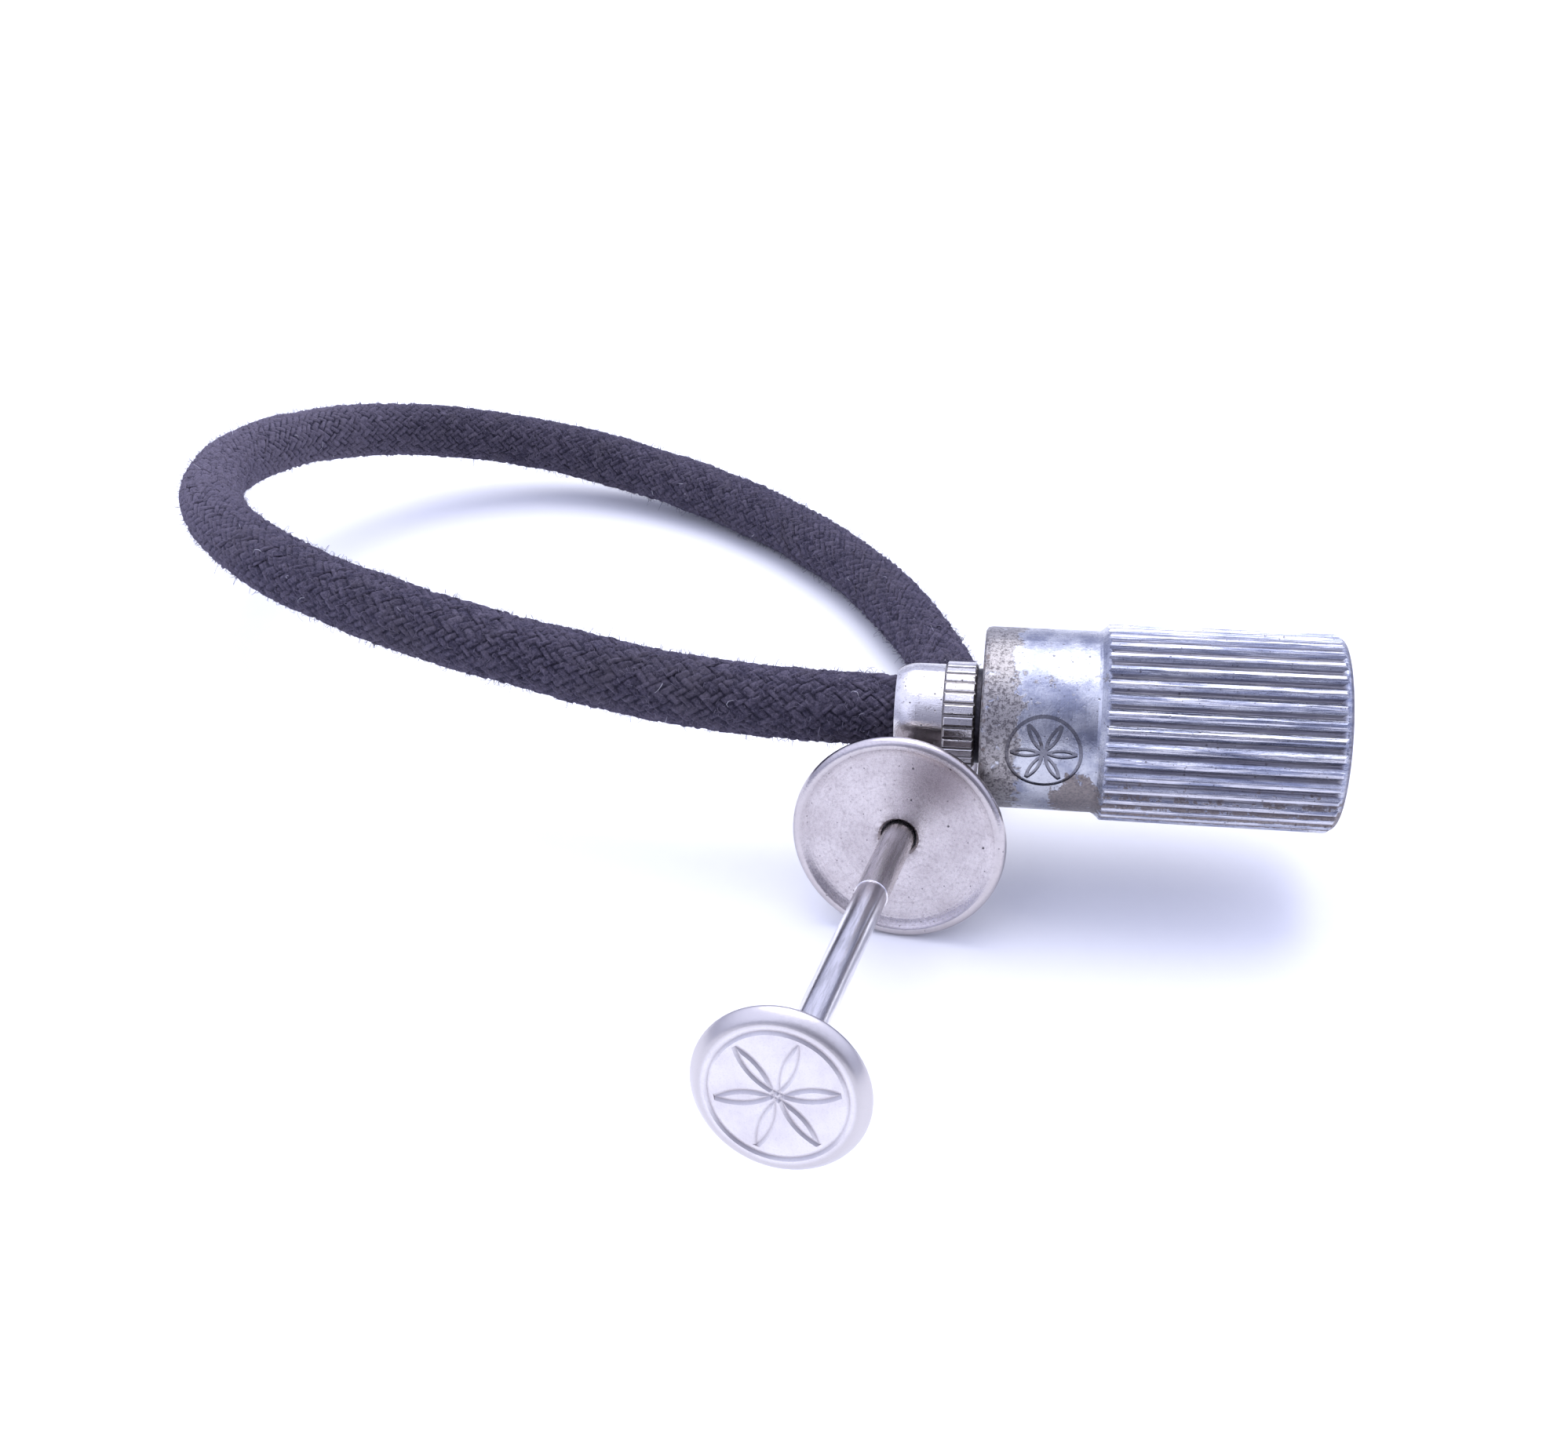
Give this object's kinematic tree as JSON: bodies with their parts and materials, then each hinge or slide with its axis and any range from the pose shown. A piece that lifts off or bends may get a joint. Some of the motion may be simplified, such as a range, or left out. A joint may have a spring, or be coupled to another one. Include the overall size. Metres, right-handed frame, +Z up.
{
  "type": "shutter cable release",
  "caption": "Cloth-covered cable release with a thumb plunger and finger disc at one end and a knurled screw-on bell with a push pin at the other.",
  "frame": {"origin": "on the surface the release lies on, under the centre of the rigid pieces' box", "axes": "+Z up, +X along the bell's axis and out of its mouth, +Y from the thumb button back towards the cable loop"},
  "size_m": [0.089, 0.0923, 0.018],
  "materials": {
    "woven_cloth": "black braided cotton with light fuzz",
    "worn_plating": "worn dull plating over brass, bluish with brown spots",
    "satin_nickel": "satin nickel with fine pits",
    "polished_nickel": "polished nickel, lightly tarnished",
    "worn_rod": "dull steel rod, rubbed along its length",
    "button_nickel": "satin nickel with engraved lines",
    "brass": "turned brass",
    "spring_steel": "drawn steel wire",
    "pin_steel": "ground steel",
    "dark_steel": "blackened steel"
  },
  "bodies": {
    "release": {"finger_disc": "satin_nickel", "guide_bush": "dark_steel", "barrel": "satin_nickel", "spring_seat": "spring_steel", "handle_ferrule": "polished_nickel", "return_spring": "spring_steel", "cloth_cover": "woven_cloth", "wire_casing": "spring_steel", "core_wire": "spring_steel", "tip_ferrule": "polished_nickel", "grip_ring": "polished_nickel", "swivel_shank": "dark_steel", "thrust_washer": "brass", "rear_washer": "dark_steel", "guide_tube": "brass"},
    "plunger": {"plunger_rod": "worn_rod", "stop_collar": "brass", "wire_crimp": "brass", "button_stem": "polished_nickel", "thumb_button": "button_nickel"},
    "bell_sleeve": {"bell": "worn_plating"},
    "pin": {"release_pin": "pin_steel", "pin_crimp": "brass"}
  },
  "joints": [
    {"name": "plunger_press", "type": "slide", "parent": "release", "child": "plunger", "axis": [0.1161, 0.9734, -0.1977], "range_m": [0, 0.0075], "stiffness_N_per_m": 350, "springref_m": -0.004, "deforming": ["return_spring", "core_wire"]},
    {"name": "pin_push", "type": "slide", "parent": "release", "child": "pin", "axis": [1, 0, 0], "range_m": [0, 0.0075], "deforming": ["core_wire"]},
    {"name": "bell_turn", "type": "hinge", "parent": "release", "child": "bell_sleeve", "pos_m": [0, 0.01265, 0.0118], "axis": [1, 0, 0], "continuous": true}
  ],
  "couplings": [
    {"joint": "pin_push", "follows": "plunger_press", "ratio": 1}
  ]
}
